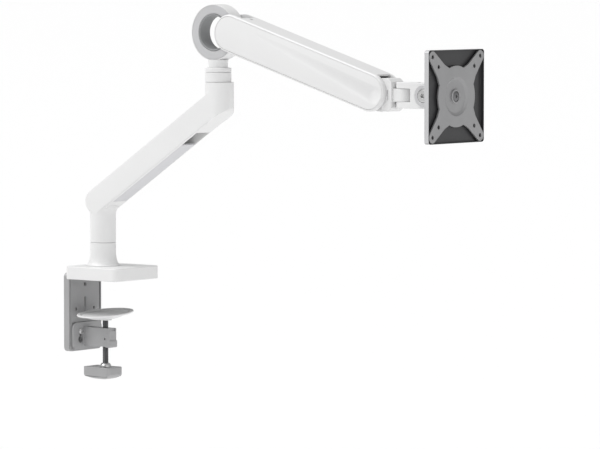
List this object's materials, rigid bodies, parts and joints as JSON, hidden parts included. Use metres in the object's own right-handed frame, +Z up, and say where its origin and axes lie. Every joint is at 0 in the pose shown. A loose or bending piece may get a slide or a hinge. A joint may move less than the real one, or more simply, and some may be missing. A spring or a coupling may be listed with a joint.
{
  "type": "monitor arm",
  "caption": "Desk-clamp monitor arm with a sloped lower arm, ring-shaped elbow hub, gas-spring upper arm and a tilting, panning, rotating head with a square monitor plate.",
  "frame": {"origin": "on the desk's top surface, on the post's vertical axis, in the underside of the base pad", "axes": "+Z up along the post; +X from the post towards the monitor, out of the monitor plate's face; +Y completes a right-handed frame"},
  "size_m": [0.6292, 0.117, 0.504],
  "materials": {
    "white_paint": "satin",
    "white_plastic": "fine-grained",
    "pale_plastic": "fine-grained",
    "grey_paint": "satin, metallic",
    "plate_grey": "satin, metallic",
    "silver_paint": "satin, metallic",
    "dark_plastic": "matte",
    "steel": "zinc plated",
    "black_steel": "black oxide",
    "rubber": "matte",
    "bronze": "sintered"
  },
  "bodies": {
    "base": {"base_pad": "rubber", "base_plate": "steel", "base_cover": "white_paint", "base_post": "white_paint", "post_shaft": "steel", "post_bolt": "black_steel", "post_retaining_screw": "black_steel", "clamp_back_plate": "grey_paint", "shelf_screw_1": "black_steel", "shelf_screw_2": "black_steel", "jaw_bracket": "grey_paint", "jaw_bolt_1": "steel", "jaw_bolt_2": "steel"},
    "clamp_ring": {"disc_snap_ring": "steel"},
    "spindle": {"clamp_screw": "black_steel", "knob_collar": "steel", "clamp_knob": "grey_paint"},
    "disc": {"pressure_disc": "white_plastic", "disc_pad": "white_plastic"},
    "lower_arm": {"lower_arm_body": "white_paint", "cable_cover": "pale_plastic", "post_bush_lower": "bronze", "post_bush_upper": "bronze", "elbow_bush_lower": "bronze", "elbow_bush_upper": "bronze"},
    "elbow_hub": {"elbow_collar": "white_paint", "elbow_trim_ring": "white_plastic", "hub_ring": "white_paint", "ring_face_near": "silver_paint", "ring_face_far": "silver_paint", "ring_liner": "dark_plastic", "elbow_shaft": "steel", "elbow_retaining_screw": "black_steel", "main_pivot_bush": "bronze", "hub_link_pin": "steel"},
    "links": {"level_link_near": "steel", "level_link_far": "steel"},
    "upper_arm": {"upper_arm_frame": "white_paint", "side_cover_near": "white_plastic", "side_cover_far": "white_plastic", "arm_bottom_cover": "white_plastic", "main_pivot_pin": "steel", "tip_pivot_pin": "steel", "tension_screw": "black_steel", "tension_nut": "steel", "gas_cylinder": "black_steel"},
    "gas_rod": {"gas_rod": "steel"},
    "tip": {"tip_block": "white_paint", "tip_link_pin": "steel", "gas_tip_pin": "steel", "pan_pin": "steel"},
    "pan": {"pan_fork": "white_paint", "tilt_disc_near": "silver_paint", "tilt_disc_far": "silver_paint", "tilt_bolt": "steel", "tilt_nut": "steel"},
    "tilt": {"tilt_block": "white_paint", "rotation_bolt": "black_steel"},
    "monitor_plate": {"vesa_tray": "silver_paint", "vesa_spider": "plate_grey"}
  },
  "joints": [
    {"name": "base_swivel", "type": "hinge", "parent": "base", "child": "lower_arm", "pos_m": [0, 0, 0.0485], "axis": [0, 0, 1], "range_deg": [-180, 180]},
    {"name": "elbow_swivel", "type": "hinge", "parent": "lower_arm", "child": "elbow_hub", "pos_m": [0.201, 0, 0.26692], "axis": [0, 0, 1], "range_deg": [-180, 180]},
    {"name": "arm_lift", "type": "hinge", "parent": "elbow_hub", "child": "upper_arm", "pos_m": [0.231, 0, 0.33192], "axis": [0, 1, 0], "range_deg": [-52, 15]},
    {"name": "link_swing", "type": "hinge", "parent": "elbow_hub", "child": "links", "pos_m": [0.228, 0, 0.31692], "axis": [0, 1, 0], "range_deg": [-52, 15]},
    {"name": "gas_stroke", "type": "slide", "parent": "upper_arm", "child": "gas_rod", "axis": [0.9678, 0, -0.2517], "range_m": [-0.004, 0.0125]},
    {"name": "tip_level", "type": "hinge", "parent": "upper_arm", "child": "tip", "pos_m": [0.4724, 0, 0.25618], "axis": [0, 1, 0], "range_deg": [-15, 52]},
    {"name": "head_pan", "type": "hinge", "parent": "tip", "child": "pan", "pos_m": [0.5064, 0, 0.25618], "axis": [0, 0, 1], "range_deg": [-90, 90]},
    {"name": "head_tilt", "type": "hinge", "parent": "pan", "child": "tilt", "pos_m": [0.5444, 0, 0.25618], "axis": [0, 1, 0], "range_deg": [-45, 45]},
    {"name": "plate_rotate", "type": "hinge", "parent": "tilt", "child": "monitor_plate", "pos_m": [0.5874, 0, 0.25618], "axis": [1, 0, 0], "range_deg": [-180, 180]},
    {"name": "clamp_travel", "type": "slide", "parent": "base", "child": "clamp_ring", "axis": [0, 0, 1], "range_m": [-0.0042, 0.0202]},
    {"name": "screw_turn", "type": "hinge", "parent": "clamp_ring", "child": "spindle", "pos_m": [0.0037, 0, -0.0505], "axis": [0, 0, 1], "range_deg": [-1152, 5760]},
    {"name": "disc_tilt", "type": "hinge", "parent": "clamp_ring", "child": "disc", "pos_m": [0.0037, 0, -0.0505], "axis": [1, 0, 0], "range_deg": [-8, 0]}
  ],
  "couplings": [
    {"joint": "link_swing", "follows": "arm_lift", "ratio": 1},
    {"joint": "gas_stroke", "follows": "arm_lift", "m_per_rad": -0.0131},
    {"joint": "tip_level", "follows": "arm_lift", "ratio": -1},
    {"joint": "clamp_travel", "follows": "screw_turn", "m_per_rad": 0.00019894}
  ]
}
